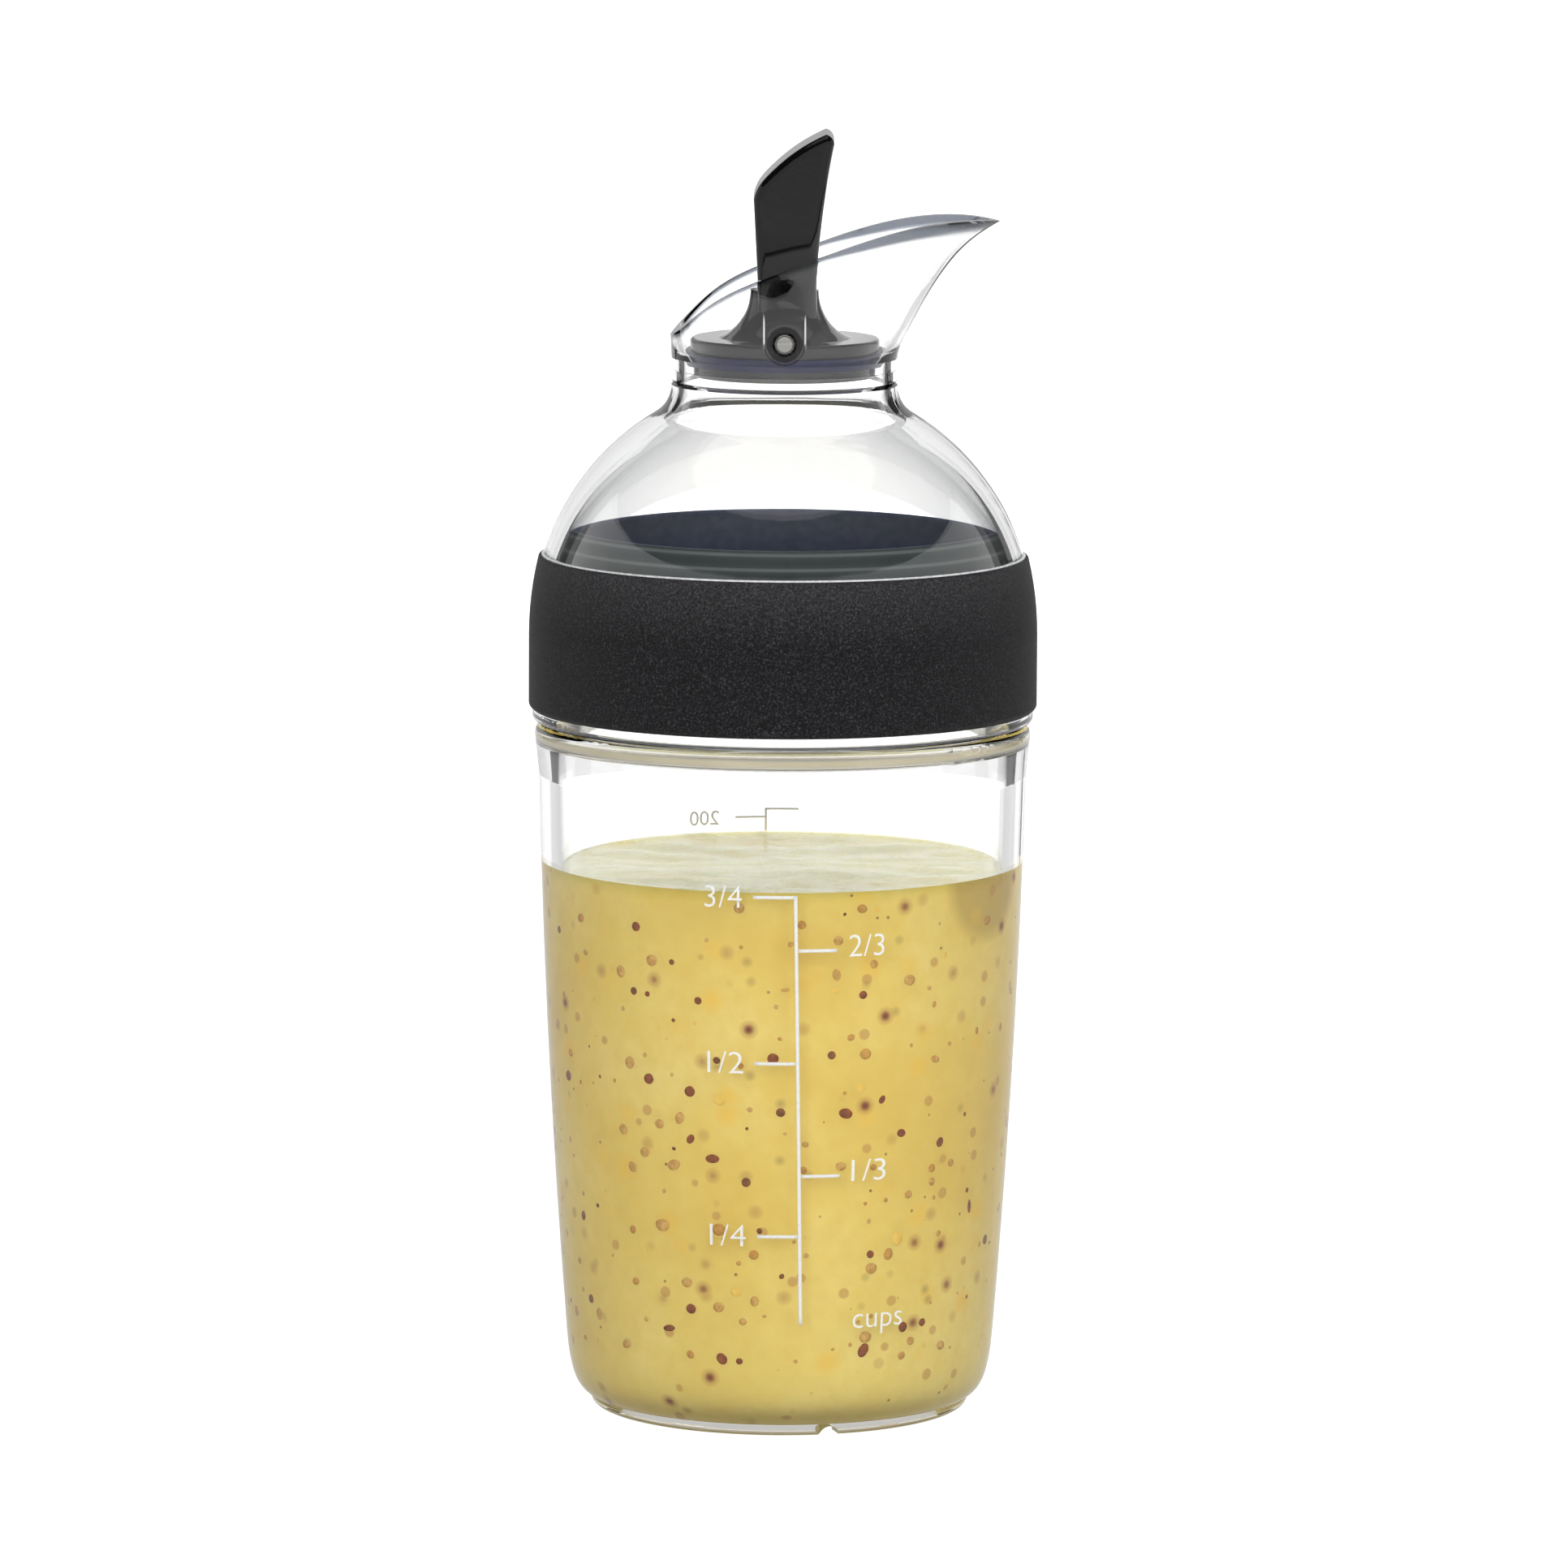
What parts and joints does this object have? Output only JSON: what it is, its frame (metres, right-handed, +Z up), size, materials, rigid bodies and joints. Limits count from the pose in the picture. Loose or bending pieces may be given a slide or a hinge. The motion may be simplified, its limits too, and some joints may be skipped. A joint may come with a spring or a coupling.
{
  "type": "salad dressing shaker bottle",
  "caption": "Clear tapered shaker cup with measuring marks, screw-on domed lid with a grip band, and a pouring spout closed by a flip lever and stopper.",
  "frame": {"origin": "centre of the ring that the cup stands on, on the axis of the cup and lid", "axes": "+Z up along the cup's axis, +X toward the tip of the spout, +Y completes the right-handed frame; the measuring marks face -Y"},
  "size_m": [0.0688, 0.0688, 0.1735],
  "materials": {
    "clear_plastic": "clear, polished",
    "dressing": "thick mustard dressing with whole seeds",
    "grey_silicone": "satin",
    "navy_silicone": "satin",
    "soft_grip": "matte with a fine grain",
    "black_plastic": "glossy",
    "steel": "turned"
  },
  "bodies": {
    "cup": {"cup": "clear_plastic", "dressing": "dressing"},
    "lid_washer": {"lid_gasket": "grey_silicone"},
    "lid": {"dome": "clear_plastic", "spout": "clear_plastic", "grip_band": "soft_grip", "inner_ring": "navy_silicone", "pivot_pin": "steel"},
    "lever": {"lever": "black_plastic", "stopper_seal": "navy_silicone", "seal_retainer": "black_plastic"}
  },
  "joints": [
    {"name": "lid_rise", "type": "slide", "parent": "cup", "child": "lid_washer", "axis": [0, 0, 1], "range_m": [0, 0.0061]},
    {"name": "lid_turn", "type": "hinge", "parent": "lid_washer", "child": "lid", "pos_m": [0, 0, 0], "axis": [0, 0, 1], "range_deg": [0, 540]},
    {"name": "lever_flip", "type": "hinge", "parent": "lid", "child": "lever", "pos_m": [0, 0, 0.1461], "axis": [0, -1, 0], "range_deg": [0, 60]}
  ],
  "couplings": [
    {"joint": "lid_rise", "follows": "lid_turn", "m_per_rad": 0.00063662}
  ]
}
